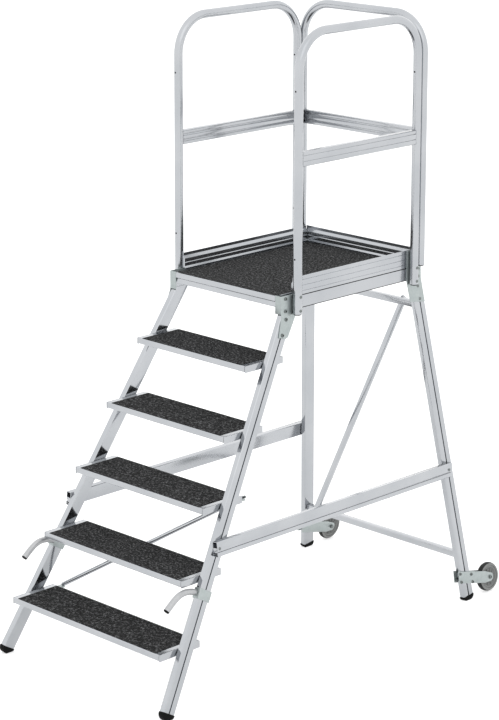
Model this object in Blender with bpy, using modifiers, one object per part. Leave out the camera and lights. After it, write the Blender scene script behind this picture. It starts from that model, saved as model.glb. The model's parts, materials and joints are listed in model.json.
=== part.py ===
"""Rolling warehouse ladder: five gritted treads up to a guarded platform, two rear wheels.

Metres, +Z up. The user climbs towards +Y. The origin lies on the floor, in the middle of the
ladder's footprint. Both sides lean inwards in one flat plane each, and every frame member of a
side lies in that plane, so the side members are placed by their height in it.
"""

import math

import bmesh
import bpy
from mathutils import Matrix, Vector

NAME = "rolling_platform_ladder"
GAP = 0.0003  # clearance between touching pieces

# Side planes: the outer face of a stile or leg stands at SIDE_X - FLARE * z.
SIDE_X = 0.4676
FLARE = 0.121

# One extrusion serves the stiles, legs and side braces.
PROFILE_W = 0.057
PROFILE_T = 0.024
PROFILE_WALL = 0.0022
PROFILE_CORNER = 0.002
GROOVE_W = 0.0062
GROOVE_D = 0.0055

# Climb: height and going of each step, and where the first tread starts.
TREADS = 5
RISE = 0.240
GOING = 0.1401
TREAD_FRONT_Y = -1.0777  # front edge of an imaginary tread at floor level
TREAD_DEPTH = 0.2055
TREAD_NOSE = 0.0235
TREAD_END = 0.0265
TREAD_WALL = 0.003
GRIP_T = 0.0020
GRIP_DEPTH = 0.1976
GRIP_END_BORDER = 0.0270

# Front stiles and rear legs: floor intercept of the centre line in Y, and its slope dy/dz.
STILE_Y = -0.9540
STILE_SLOPE = 0.5886
STILE_END_Z = 0.0252
LEG_Y = 0.7749
LEG_SLOPE = -0.1322
LEG_END_Z = 0.0190
FOOT_LIP = 0.0012  # how far a foot stands proud of its profile
STILE_FOOT_DEPTH = 0.0270
LEG_FOOT_DEPTH = 0.0215

# Platform
DECK_TOP = 1.4350
DECK_FRONT_Y = -0.1904
DECK_REAR_Y = 0.5966
FRAME_TOP = 1.4238
FRAME_BOTTOM = 1.3712
FRAME_X = 0.3017
FLANGE_X = 0.2725  # inner end of a front bracket's flange
TOE_TOP = 1.4965
TOE_T = 0.0100
NOSE_BOTTOM = 1.3895

# Guard rails
TUBE_R = 0.0175
BEND_R = 0.145
RAIL_TOP = 2.432
POST_X = 0.3240
POST_FRONT_Y = -0.1209
POST_REAR_Y = 0.5536
BACK_RAIL_Y = 0.5902
POST_BOTTOM = 1.3600
BACK_POST_BOTTOM = 1.4340
KNEE_BOTTOM = 1.9285
KNEE_H = 0.057
KNEE_GROOVES = (0.0205, 0.0425)

PLATE_T = 0.0025  # every bent steel plate

# Side braces and rear bracing
BRACE_Z = 0.5697
BRACE_FRONT_Y = -0.6479
BRACE_REAR_Y = 0.7001
BRACE_GROOVE = -0.0090
BAR = 0.025
LOWER_BAR_Z = 0.1840
UPPER_BAR_Z = 1.2500
DIAGONAL_T = 0.012

# Wheels
WHEEL_R = 0.0600
WHEEL_W = 0.026
WHEEL_Y = 0.9091
WHEEL_Z = 0.0620
WHEEL_INSET = 0.0100  # wheel's middle plane, inside the side plane


def clear_scene():
    for obj in list(bpy.data.objects):
        bpy.data.objects.remove(obj, do_unlink=True)


def collection(name):
    group = bpy.data.collections.new(name)
    bpy.context.scene.collection.children.link(group)
    return group


def material(name, color, roughness, metallic=0.0):
    mat = bpy.data.materials.new(name)
    mat.use_nodes = True
    bsdf = mat.node_tree.nodes["Principled BSDF"]
    bsdf.inputs["Base Color"].default_value = (*color, 1.0)
    bsdf.inputs["Roughness"].default_value = roughness
    bsdf.inputs["Metallic"].default_value = metallic
    return mat


FINISHES = {
    "aluminium": ((0.80, 0.81, 0.83), 0.28, 1.0),
    "steel": ((0.62, 0.66, 0.66), 0.35, 1.0),
    "grit": ((0.035, 0.035, 0.034), 0.95, 0.0),
    "rubber": ((0.012, 0.012, 0.012), 0.70, 0.0),
    "tyre": ((0.16, 0.16, 0.16), 0.60, 0.0),
    "rim": ((0.34, 0.34, 0.34), 0.45, 0.0),
}


def add(name, mesh, finish, group=None):
    """Links a named object, with a material of its own."""
    obj = bpy.data.objects.new(name, mesh)
    (group or PARTS).objects.link(obj)
    if group is None:
        mesh.materials.clear()
        mesh.materials.append(material(name, *FINISHES[finish]))
    return obj


def mesh_from(bm, name):
    bmesh.ops.recalc_face_normals(bm, faces=bm.faces)
    mesh = bpy.data.meshes.new(name)
    bm.to_mesh(mesh)
    bm.free()
    return mesh


def box_mesh(name, lo, hi):
    lo, hi = Vector(lo), Vector(hi)
    bm = bmesh.new()
    bmesh.ops.create_cube(bm, size=1.0)
    bmesh.ops.scale(bm, vec=hi - lo, verts=bm.verts)
    bmesh.ops.translate(bm, vec=(lo + hi) / 2, verts=bm.verts)
    return mesh_from(bm, name)


def bevel(obj, width, segments=2, angle=35):
    mod = obj.modifiers.new("edges", "BEVEL")
    mod.width = width
    mod.segments = segments
    mod.limit_method = "ANGLE"
    mod.angle_limit = math.radians(angle)
    mod.harden_normals = False
    return obj


def box(name, lo, hi, finish, edge=0.0, segments=2):
    obj = add(name, box_mesh(name, lo, hi), finish)
    return bevel(obj, edge, segments) if edge else obj


def cut(obj, cutter, operation="DIFFERENCE"):
    cutter.hide_render = True
    cutter.display_type = "WIRE"
    mod = obj.modifiers.new(cutter.name, "BOOLEAN")
    mod.operation = operation
    mod.solver = "EXACT"
    mod.object = cutter
    return obj


def guide_box(name, lo, hi, matrix=None):
    obj = add(name, box_mesh(name, lo, hi), None, GUIDES)
    if matrix is not None:
        obj.matrix_world = matrix
    return obj


def guide_cylinder(name, radius, length, matrix, sides=48):
    bm = bmesh.new()
    bmesh.ops.create_cone(
        bm, cap_ends=True, segments=sides, radius1=radius, radius2=radius, depth=length
    )
    obj = add(name, mesh_from(bm, name), None, GUIDES)
    obj.matrix_world = matrix
    return obj


def bake(obj):
    """Applies the modifiers and the placement, so the mesh holds the finished shape."""
    bpy.context.view_layer.update()
    graph = bpy.context.evaluated_depsgraph_get()
    mesh = bpy.data.meshes.new_from_object(obj.evaluated_get(graph))
    mesh.transform(obj.matrix_world)
    if obj.matrix_world.determinant() < 0:
        mesh.flip_normals()
    obj.modifiers.clear()
    obj.matrix_world = Matrix.Identity(4)
    obj.data = mesh
    return obj


def mirrored(obj, name):
    """A left-hand copy of a finished right-hand piece."""
    bm = bmesh.new()
    bm.from_mesh(obj.data)
    bmesh.ops.transform(bm, matrix=Matrix.Scale(-1, 4, (1, 0, 0)), verts=bm.verts)
    bmesh.ops.reverse_faces(bm, faces=bm.faces)
    mesh = bpy.data.meshes.new(name)
    bm.to_mesh(mesh)
    bm.free()
    for mat in obj.data.materials:
        mesh.materials.append(mat)
    copy = bpy.data.objects.new(name, mesh)
    PARTS.objects.link(copy)
    copy.data.materials[0] = obj.data.materials[0].copy()
    copy.data.materials[0].name = name
    return copy


def pair(obj):
    """Finishes a right-hand piece and adds its left-hand twin."""
    mirrored(bake(obj), obj.name.replace("_right", "_left"))
    return obj


def loop(spline_set, points):
    spline = spline_set.new("POLY")
    spline.points.add(len(points) - 1)
    for point, (x, y) in zip(spline.points, points):
        point.co = (x, y, 0.0, 1.0)
    spline.use_cyclic_u = True


def extrusion_mesh(name, outer, inner, length):
    """A prism along local Z from 0 to length. inner lists the loops of its hollows."""
    curve = bpy.data.curves.new(name, "CURVE")
    curve.dimensions = "2D"
    curve.fill_mode = "BOTH"
    curve.extrude = length / 2
    for points in [outer, *inner]:
        loop(curve.splines, points)
    helper = bpy.data.objects.new(name, curve)
    GUIDES.objects.link(helper)
    bpy.context.view_layer.update()
    graph = bpy.context.evaluated_depsgraph_get()
    mesh = bpy.data.meshes.new_from_object(helper.evaluated_get(graph))
    bpy.data.objects.remove(helper, do_unlink=True)
    bm = bmesh.new()
    bm.from_mesh(mesh)
    bmesh.ops.remove_doubles(bm, verts=bm.verts, dist=1e-6)
    bmesh.ops.translate(bm, vec=(0, 0, length / 2), verts=bm.verts)
    return mesh_from(bm, name)


def rounded(x0, y0, x1, y1, radius, steps=2):
    """A rectangle's loop with rounded corners, anticlockwise."""
    points = []
    for cx, cy, start in (
        (x1 - radius, y0 + radius, -90),
        (x1 - radius, y1 - radius, 0),
        (x0 + radius, y1 - radius, 90),
        (x0 + radius, y0 + radius, 180),
    ):
        for i in range(steps + 1):
            a = math.radians(start + 90 * i / steps)
            points.append((cx + radius * math.cos(a), cy + radius * math.sin(a)))
    return points


def grooved_section(width, thick, grooves, groove_w, groove_d, both=False):
    """Frame profile: outer face at x = 0, body towards -x, grooves as heights along y."""
    half = width / 2
    c = PROFILE_CORNER
    outer = [(0, -half + c)]
    for g in grooves:
        outer += [
            (0, g - groove_w / 2),
            (-groove_d, g - groove_w / 2),
            (-groove_d, g + groove_w / 2),
            (0, g + groove_w / 2),
        ]
    outer += [(0, half - c), (-c, half), (-thick + c, half), (-thick, half - c)]
    if both:
        for g in reversed(grooves):
            outer += [
                (-thick, g + groove_w / 2),
                (-thick + groove_d, g + groove_w / 2),
                (-thick + groove_d, g - groove_w / 2),
                (-thick, g - groove_w / 2),
            ]
    outer += [(-thick, -half + c), (-thick + c, -half), (-c, -half)]
    return outer


def hollow(thick, groove_w, groove_d, half, wall):
    """The chamber of a profile with one groove in the middle, which steps round the groove."""
    step = groove_w / 2 + wall
    return [
        (-wall, -half), (-wall, -step), (-groove_d - wall, -step), (-groove_d - wall, step),
        (-wall, step), (-wall, half), (-thick + wall, half), (-thick + wall, -half),
    ]


def side_frame(y, z, slope):
    """Placement in the right side plane: local X outwards, Z along the member, origin on the face."""
    normal = Vector((1, 0, FLARE)).normalized()
    axis = Vector((-FLARE, slope, 1)).normalized()
    across = axis.cross(normal)
    origin = Vector((SIDE_X - FLARE * z, y, z))
    return Matrix.Translation(origin) @ Matrix((normal, across, axis)).transposed().to_4x4()


def frame_bar(name, length):
    """A stile's or leg's profile: one chamber behind a central groove."""
    outer = grooved_section(PROFILE_W, PROFILE_T, (0.0,), GROOVE_W, GROOVE_D)
    inner = hollow(PROFILE_T, GROOVE_W, GROOVE_D, PROFILE_W / 2 - PROFILE_WALL, PROFILE_WALL)
    return add(name, extrusion_mesh(name, outer, [inner], length), "aluminium")


def brace_bar(name, length):
    """A side brace's profile: a tall chamber, a solid screw boss behind the groove, two small chambers."""
    outer = grooved_section(PROFILE_W, PROFILE_T, (BRACE_GROOVE,), GROOVE_W, GROOVE_D)
    near, far, half = -PROFILE_WALL, -PROFILE_T + PROFILE_WALL, PROFILE_W / 2 - PROFILE_WALL
    inner = [
        [(near, low), (near, high), (far, high), (far, low)]
        for low, high in ((BRACE_GROOVE + 0.0140, half), (-0.0192, -0.0140), (-half, -0.0212))
    ]
    return add(name, extrusion_mesh(name, outer, inner, length), "aluminium")


def slope_length(slope):
    return math.sqrt(1 + FLARE**2 + slope**2)


def uprights():
    """Front stiles and rear legs, cut level under the platform, each on a rubber foot."""
    top_cut = guide_box("cut_upright_tops", (-1, -2, FRAME_BOTTOM - GAP), (1, 2, 1.7))
    floor_cut = guide_box("cut_floor", (-1, -2, -0.3), (1, 2, 0))
    for kind, y0, slope, end_z, depth in (
        ("front_stile", STILE_Y, STILE_SLOPE, STILE_END_Z, STILE_FOOT_DEPTH),
        ("rear_leg", LEG_Y, LEG_SLOPE, LEG_END_Z, LEG_FOOT_DEPTH),
    ):
        place = side_frame(y0 + slope * end_z, end_z, slope)
        bar = frame_bar(f"{kind}_right", (FRAME_BOTTOM + 0.06 - end_z) * slope_length(slope))
        bar.matrix_world = place
        pair(cut(bar, top_cut))

        # The foot is a rounded shoe: half an ellipse seen from the side, cut flat by the floor.
        half = PROFILE_W / 2 + FOOT_LIP
        outline = [(-half, -GAP), (half, -GAP)]
        for i in range(15):
            a = math.pi * i / 14
            outline.append((half * math.cos(a), -GAP - 0.003 - (depth - 0.003) * math.sin(a)))
        foot = add(
            kind.replace("_stile", "").replace("_leg", "") + "_foot_right",
            extrusion_mesh("foot", outline, [], PROFILE_T + 2 * FOOT_LIP), "rubber",
        )
        foot.matrix_world = place @ Matrix(
            ((0, 0, 1, -PROFILE_T - FOOT_LIP), (1, 0, 0, 0), (0, 1, 0, 0), (0, 0, 0, 1))
        )
        pair(cut(bevel(foot, 0.0025, 2, 60), floor_cut))


def treads():
    """Five trays open underneath, each with a sheet of grit on top."""
    for k in range(1, TREADS + 1):
        top = RISE * k - GRIP_T - GAP
        half = SIDE_X - PROFILE_T * math.hypot(1, FLARE) - FLARE * RISE * k - 2 * GAP
        front = TREAD_FRONT_Y + GOING * k
        rear = front + TREAD_DEPTH
        tray = add(
            f"tread_{k}", box_mesh("tread", (-half, front, top - TREAD_END), (half, rear, top)),
            "aluminium",
        )
        wall = TREAD_WALL
        cut(tray, guide_box(
            f"cut_tread_{k}_tray",
            (-half + wall, front + wall, top - 0.1), (half - wall, rear - wall, top - wall),
        ))
        cut(tray, guide_box(
            f"cut_tread_{k}_flanges",
            (-half + 2 * wall, front - 0.01, top - 0.1), (half - 2 * wall, rear + 0.01, top - TREAD_NOSE),
        ))
        bake(bevel(tray, 0.0012, 1, 60))
        grip_half = half - GRIP_END_BORDER
        box(
            f"tread_grip_{k}",
            (-grip_half, front + 0.0025, RISE * k - GRIP_T),
            (grip_half, front + 0.0025 + GRIP_DEPTH, RISE * k),
            "grit", 0.0005, 1,
        )


def platform():
    """Deck tray, its edge frame, the grit sheet and the toe boards."""
    inner_x = FRAME_X - PROFILE_T - GAP
    deck_top = DECK_TOP - GRIP_T - GAP
    nose_half = FLANGE_X - 2 * GAP
    nose_rear = DECK_FRONT_Y + 0.0260
    rear_front = DECK_REAR_Y - PROFILE_T

    nose = add(
        "platform_nosing",
        extrusion_mesh(
            "nosing",
            [
                (0.0012, NOSE_BOTTOM), (0.0255, NOSE_BOTTOM), (0.0255, deck_top),
                (0.0024, deck_top), (0.0010, deck_top - 0.0006), (0.0002, deck_top - 0.0018),
                (0.0000, deck_top - 0.0036), (0.0000, NOSE_BOTTOM + 0.0225),
                (0.0022, NOSE_BOTTOM + 0.0200), (0.0032, NOSE_BOTTOM + 0.0140),
                (0.0022, NOSE_BOTTOM + 0.0070), (0.0004, NOSE_BOTTOM + 0.0040),
                (0.0004, NOSE_BOTTOM + 0.0010),
            ],
            [[
                (0.0060, NOSE_BOTTOM + 0.0025), (0.0230, NOSE_BOTTOM + 0.0025),
                (0.0230, deck_top - 0.0030), (0.0040, deck_top - 0.0030),
                (0.0040, NOSE_BOTTOM + 0.0230), (0.0060, NOSE_BOTTOM + 0.0200),
            ]],
            2 * nose_half,
        ),
        "aluminium",
    )
    # The section is drawn as depth and height, then laid along X.
    nose.matrix_world = Matrix.Translation((-nose_half, DECK_FRONT_Y, 0)) @ Matrix(
        ((0, 0, 1, 0), (1, 0, 0, 0), (0, 1, 0, 0), (0, 0, 0, 1))
    )
    bake(nose)

    deck = add(
        "platform_deck",
        box_mesh("deck", (-inner_x, nose_rear, deck_top - 0.030), (inner_x, rear_front - GAP, deck_top)),
        "aluminium",
    )
    ribs = 4
    pitch = 2 * (inner_x - 0.003) / ribs
    for i in range(ribs):
        x = -inner_x + 0.003 + pitch * i
        cut(deck, guide_box(
            f"cut_deck_bay_{i + 1}",
            (x + 0.0015, nose_rear + 0.003, deck_top - 0.1),
            (x + pitch - 0.0015, rear_front - GAP - 0.003, deck_top - 0.003),
        ))
    bake(deck)

    grip = add(
        "platform_grip",
        box_mesh(
            "grip",
            (-nose_half, DECK_FRONT_Y + 0.0035, DECK_TOP - GRIP_T), (nose_half, rear_front - 0.004, DECK_TOP),
        ),
        "grit",
    )
    round_corners(grip, 0.010)

    side = box(
        "platform_side_frame_right",
        (FRAME_X - PROFILE_T, DECK_FRONT_Y + PLATE_T + 2 * GAP, FRAME_BOTTOM),
        (FRAME_X, DECK_REAR_Y, FRAME_TOP), "aluminium",
    )
    wall = PROFILE_WALL
    cut(side, guide_box(
        "cut_side_frame",
        (FRAME_X - PROFILE_T + wall, DECK_FRONT_Y - 0.1, FRAME_BOTTOM + wall),
        (FRAME_X - wall, DECK_REAR_Y + 0.1, FRAME_TOP - wall),
    ))
    pair(bevel(side, 0.0012, 1, 60))

    rear = box(
        "platform_rear_frame",
        (-inner_x + GAP, rear_front, FRAME_BOTTOM), (inner_x - GAP, DECK_REAR_Y, FRAME_TOP), "aluminium",
    )
    cut(rear, guide_box(
        "cut_rear_frame",
        (-inner_x - 0.1, rear_front + wall, FRAME_BOTTOM + wall),
        (inner_x + 0.1, DECK_REAR_Y - wall, FRAME_TOP - wall),
    ))
    bake(bevel(rear, 0.0012, 1, 60))

    toe_y0 = POST_FRONT_Y - 0.0010
    side_toe = toe_board("toe_board_right", DECK_REAR_Y - TOE_T - GAP - toe_y0)
    side_toe.matrix_world = Matrix.Translation((FRAME_X, toe_y0, FRAME_TOP + GAP)) @ Matrix(
        ((1, 0, 0, 0), (0, 0, 1, 0), (0, 1, 0, 0), (0, 0, 0, 1))
    )
    pair(side_toe)
    back_toe = toe_board("toe_board_back", 2 * FRAME_X)
    back_toe.matrix_world = Matrix.Translation((-FRAME_X, DECK_REAR_Y, FRAME_TOP + GAP)) @ Matrix(
        ((0, 0, 1, 0), (1, 0, 0, 0), (0, 1, 0, 0), (0, 0, 0, 1))
    )
    bake(back_toe)


def toe_board(name, length):
    """A board with three shallow lines outside, at x = 0, and a thin lip above a sloping shoulder inside."""
    height = TOE_TOP - FRAME_TOP - GAP
    lip = 0.0035
    section = [(0, 0)]
    for h in (0.0135, 0.0350, 0.0570):
        section += [(0, h - 0.0013), (-0.0012, h - 0.0005), (-0.0012, h + 0.0005), (0, h + 0.0013)]
    section += [
        (0, height - 0.0015), (-0.0012, height), (-lip + 0.0005, height), (-lip, height - 0.0010),
        (-lip, 0.0600), (-TOE_T, 0.0492), (-TOE_T, 0.0356), (-TOE_T + 0.0012, 0.0348),
        (-TOE_T, 0.0316), (-TOE_T, 0.0190), (-TOE_T + 0.0022, 0.0180), (-TOE_T, 0.0100), (-TOE_T, 0),
    ]
    return add(name, extrusion_mesh(name, section, [], length), "aluminium")


def round_corners(obj, radius):
    """Rounds the two front corners of a flat sheet as seen from above."""
    bm = bmesh.new()
    bm.from_mesh(obj.data)
    front = min(v.co.y for v in bm.verts)
    edges = [
        e for e in bm.edges
        if all(abs(v.co.y - front) < 1e-6 for v in e.verts)
        and abs(e.verts[0].co.x - e.verts[1].co.x) < 1e-6
    ]
    bmesh.ops.bevel(bm, geom=edges, offset=radius, segments=4, profile=0.5, affect="EDGES")
    bm.to_mesh(obj.data)
    bm.free()


def arc(centre, start, end, steps=9):
    """Points of a quarter bend, from angle start to end in degrees, as pairs."""
    points = []
    for i in range(steps + 1):
        a = math.radians(start + (end - start) * i / steps)
        points.append((centre[0] + BEND_R * math.cos(a), centre[1] + BEND_R * math.sin(a)))
    return points


def tube(name, points, radius, finish, sides=5):
    curve = bpy.data.curves.new(name, "CURVE")
    curve.dimensions = "3D"
    curve.bevel_depth = radius
    curve.bevel_resolution = sides
    curve.use_fill_caps = True
    spline = curve.splines.new("POLY")
    spline.points.add(len(points) - 1)
    for point, co in zip(spline.points, points):
        point.co = (*co, 1.0)
    helper = bpy.data.objects.new(name, curve)
    GUIDES.objects.link(helper)
    bpy.context.view_layer.update()
    graph = bpy.context.evaluated_depsgraph_get()
    mesh = bpy.data.meshes.new_from_object(helper.evaluated_get(graph))
    bpy.data.objects.remove(helper, do_unlink=True)
    bm = bmesh.new()
    bm.from_mesh(mesh)
    bmesh.ops.remove_doubles(bm, verts=bm.verts, dist=1e-6)
    return add(name, mesh_from(bm, name), finish)


def hoop(a, b, bottom):
    """Centre line of a guard hoop, as (distance along, height) pairs."""
    return (
        [(a, bottom)]
        + arc((a + BEND_R, RAIL_TOP - BEND_R), 180, 90)
        + arc((b - BEND_R, RAIL_TOP - BEND_R), 90, 0)
        + [(b, bottom)]
    )


def guard_rails():
    """Two side hoops and a back hoop, each with a grooved rail at knee height."""
    pair(tube(
        "guard_hoop_right",
        [(POST_X, y, z) for y, z in hoop(POST_FRONT_Y, POST_REAR_Y, POST_BOTTOM)],
        TUBE_R, "aluminium",
    ))
    tube(
        "guard_hoop_back",
        [(x, BACK_RAIL_Y, z) for x, z in hoop(-POST_X, POST_X, BACK_POST_BOTTOM)],
        TUBE_R, "aluminium",
    )

    grooves = tuple(g - KNEE_H / 2 for g in KNEE_GROOVES)
    outer = grooved_section(KNEE_H, PROFILE_T, grooves, 0.0026, 0.0030, both=True)
    wall = PROFILE_WALL
    mid = KNEE_BOTTOM + KNEE_H / 2
    chamber = rounded(-PROFILE_T + 0.0052, -KNEE_H / 2 + wall, -0.0052, KNEE_H / 2 - wall, 0.001, 1)
    for name, start, end, place in (
        ("knee_rail_right", POST_FRONT_Y, POST_REAR_Y,
         Matrix.Translation((POST_X + PROFILE_T / 2, POST_FRONT_Y, mid))
         @ Matrix(((1, 0, 0, 0), (0, 0, 1, 0), (0, 1, 0, 0), (0, 0, 0, 1)))),
        ("knee_rail_back", -POST_X, POST_X,
         Matrix.Translation((-POST_X, BACK_RAIL_Y + PROFILE_T / 2, mid))
         @ Matrix(((0, 0, 1, 0), (1, 0, 0, 0), (0, 1, 0, 0), (0, 0, 0, 1)))),
    ):
        rail = add(name, extrusion_mesh(name, outer, [chamber], end - start), "aluminium")
        rail.matrix_world = place
        for post, where in (("near", start), ("far", end)):
            spot = (POST_X, where, mid) if name.endswith("right") else (where, BACK_RAIL_Y, mid)
            cut(rail, guide_cylinder(
                f"cut_{name}_{post}", TUBE_R + GAP * 1.5, 0.2, Matrix.Translation(spot)
            ))
        if name.endswith("right"):
            pair(rail)
        else:
            bake(rail)


def bent_plate(name, upper, lower, thick):
    """A steel plate outside the platform frame: upright above the bend, along the side plane below.

    upper and lower are outlines as (y, z) pairs; each starts and ends on the bend line.
    """
    bm = bmesh.new()
    face_x = FRAME_X + GAP
    bend_z = FRAME_BOTTOM

    def vertex(y, z):
        return bm.verts.new((face_x + max(0.0, bend_z - z) * FLARE, y, z))

    first, last = vertex(*upper[0]), vertex(*upper[-1])
    bm.faces.new([first, *(vertex(*p) for p in upper[1:-1]), last])
    bm.faces.new([last, *(vertex(*p) for p in lower[1:-1]), first])
    mesh = mesh_from(bm, name)
    obj = add(name, mesh, "steel")
    mod = obj.modifiers.new("thickness", "SOLIDIFY")
    mod.thickness = thick
    mod.use_even_offset = True
    outward = mesh.polygons[0].normal.x > 0
    mod.offset = 1.0 if outward else -1.0
    return obj


def brackets():
    """Bent plates that tie the stiles and legs to the platform frame."""
    y0 = DECK_FRONT_Y
    top, low = 1.4345, 1.3636
    front = bent_plate(
        "front_bracket_right",
        [(y0, FRAME_BOTTOM), (y0, top), (y0 + 0.0915, top), (y0 + 0.0915, FRAME_BOTTOM)],
        [(y0 + 0.0915, FRAME_BOTTOM), (y0 + 0.0810, 1.3550), (y0 + 0.0260, 1.2740),
         (y0 + 0.0120, 1.2700), (y0 - 0.0240, 1.2800), (y0 - 0.0180, 1.3000), (y0, 1.3560),
         (y0, FRAME_BOTTOM)],
        PLATE_T,
    )
    # A flange closes the front end of the side frame, flush with the nosing.
    flange = guide_box(
        "flange_front_bracket",
        (FLANGE_X, y0 + 0.0002, low), (FRAME_X + PLATE_T, y0 + PLATE_T, top - 0.0002),
    )
    pair(cut(front, flange, "UNION"))

    y1 = DECK_REAR_Y
    rear = bent_plate(
        "rear_bracket_right",
        [(y1 - 0.0645, FRAME_BOTTOM), (y1 - 0.0645, TOE_TOP - 0.003), (y1 - 0.0265, TOE_TOP - 0.003),
         (y1 - 0.0265, 1.4230), (y1 + 0.0215, 1.4230), (y1 + 0.0235, FRAME_BOTTOM)],
        [(y1 + 0.0235, FRAME_BOTTOM), (y1 + 0.0365, 1.2720), (y1 - 0.0505, 1.2840),
         (y1 - 0.0645, FRAME_BOTTOM)],
        PLATE_T,
    )
    pair(rear)


def bracing():
    """Side braces, rear cross bars with their diagonal, and the round tie under the treads."""
    place = side_frame(BRACE_FRONT_Y, BRACE_Z, 0.0)
    normal = place.to_3x3().col[0]
    brace = brace_bar("side_brace_right", BRACE_REAR_Y - BRACE_FRONT_Y)
    up = Vector((-FLARE, 0, 1)).normalized()
    turn = Matrix((normal, up, normal.cross(up))).transposed().to_4x4()
    outer_point = Vector((SIDE_X - FLARE * BRACE_Z, BRACE_REAR_Y, BRACE_Z)) + normal * (PROFILE_T + GAP)
    brace.matrix_world = Matrix.Translation(outer_point) @ turn
    pair(brace)

    inner = SIDE_X - PROFILE_T * math.hypot(1, FLARE)

    def square_bar(name, lo, hi, wall=0.002):
        bar = box(name, lo, hi, "aluminium")
        longest = max(range(3), key=lambda i: hi[i] - lo[i])
        grow = [wall if i != longest else -0.1 for i in range(3)]
        cut(bar, guide_box(
            f"cut_{name}",
            [lo[i] + grow[i] for i in range(3)], [hi[i] - grow[i] for i in range(3)],
        ))
        return bake(bar)

    # Both bars span between the legs, a little ahead of the legs' middle.
    starts = {}
    for where, low, ahead in (("lower", LOWER_BAR_Z, 0.0193), ("upper", UPPER_BAR_Z, 0.0164)):
        y = LEG_Y + LEG_SLOPE * (low + BAR / 2) - ahead
        half = inner - FLARE * (low + BAR) - 2 * GAP
        square_bar(f"rear_cross_bar_{where}", (-half, y, low), (half, y + BAR, low + BAR))
        starts[where] = y

    # The flat diagonal runs from behind the upper bar to in front of the lower one.
    off = DIAGONAL_T / 2 + 0.0018
    a = Vector((0.2090, starts["upper"] + BAR + off, UPPER_BAR_Z + BAR / 2))
    b = Vector((-0.3570, starts["lower"] - off, LOWER_BAR_Z + BAR / 2))
    bake(bar_between("rear_diagonal", a, b, 0.0150, "aluminium"))


def bar_between(name, a, b, past, finish):
    """A flat bar whose axis passes through a and b and runs past both."""
    axis = (b - a).normalized()
    side = Vector((0, 1, 0)).cross(axis).normalized()
    flat = axis.cross(side)
    obj = add(
        name,
        box_mesh(name, (-BAR / 2, -DIAGONAL_T / 2, -past), (BAR / 2, DIAGONAL_T / 2, (b - a).length + past)),
        finish,
    )
    obj.matrix_world = Matrix.Translation(a) @ Matrix((side, flat, axis)).transposed().to_4x4()
    return obj


def tie_rod():
    """A round tie from behind the first tread's left end to behind the third's right end."""
    radius = 0.0090
    y_of = {k: TREAD_FRONT_Y + GOING * k + TREAD_DEPTH for k in (1, 3)}
    a = Vector((-0.385, y_of[1] + 0.0255, RISE - 0.004))
    b = Vector((0.335, y_of[3] + 0.0255, 3 * RISE - 0.018))
    rod = tube("tie_rod", [a, b], radius, "aluminium", 4)
    for name, end, k in (("near", a, 1), ("far", b, 3)):
        lug = add(
            f"lug_{name}",
            box_mesh("lug", (end.x - 0.012, y_of[k] + GAP, end.z - 0.010),
                     (end.x + 0.012, end.y, end.z - 0.002)),
            None, GUIDES,
        )
        cut(rod, lug, "UNION")
    bake(rod)


def handles():
    """Two lifting handles, each a short bent tube clamped round its stile."""
    z = 0.411
    place = side_frame(STILE_Y + STILE_SLOPE * z, z, STILE_SLOPE)
    half = PROFILE_W / 2
    wall = 0.003
    clamp = add(
        "handle_clamp_right",
        box_mesh(
            "clamp",
            (-PROFILE_T - wall, -half - wall - GAP, -0.0205), (wall + GAP, half + wall + GAP, 0.0205),
        ),
        "steel",
    )
    clamp.matrix_world = place
    cut(clamp, guide_box(
        "cut_clamp", (-PROFILE_T - GAP, -half - GAP, -0.1), (GAP, half + GAP, 0.1), place
    ))
    pair(bevel(clamp, 0.0010, 1, 60))

    radius = 0.0118
    x = 0.4000
    start_y = STILE_Y + STILE_SLOPE * 0.428 - half * math.hypot(1, STILE_SLOPE) - 0.0058
    path = [
        (x, start_y, 0.4255), (x, start_y - 0.018, 0.4325), (x, start_y - 0.036, 0.4370),
        (x, start_y - 0.055, 0.4385), (x, start_y - 0.074, 0.4365), (x, start_y - 0.092, 0.4300),
        (x, start_y - 0.110, 0.4195), (x, start_y - 0.126, 0.4080), (x, start_y - 0.147, 0.3910),
    ]
    grip = tube("handle_right", path, radius, "steel", 4)
    cut(grip, guide_box(
        "cut_handle_root",
        (-PROFILE_T - 0.05, -half - wall - 2 * GAP, -0.1), (0.05, half, 0.1), place,
    ))
    pair(grip)


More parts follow.
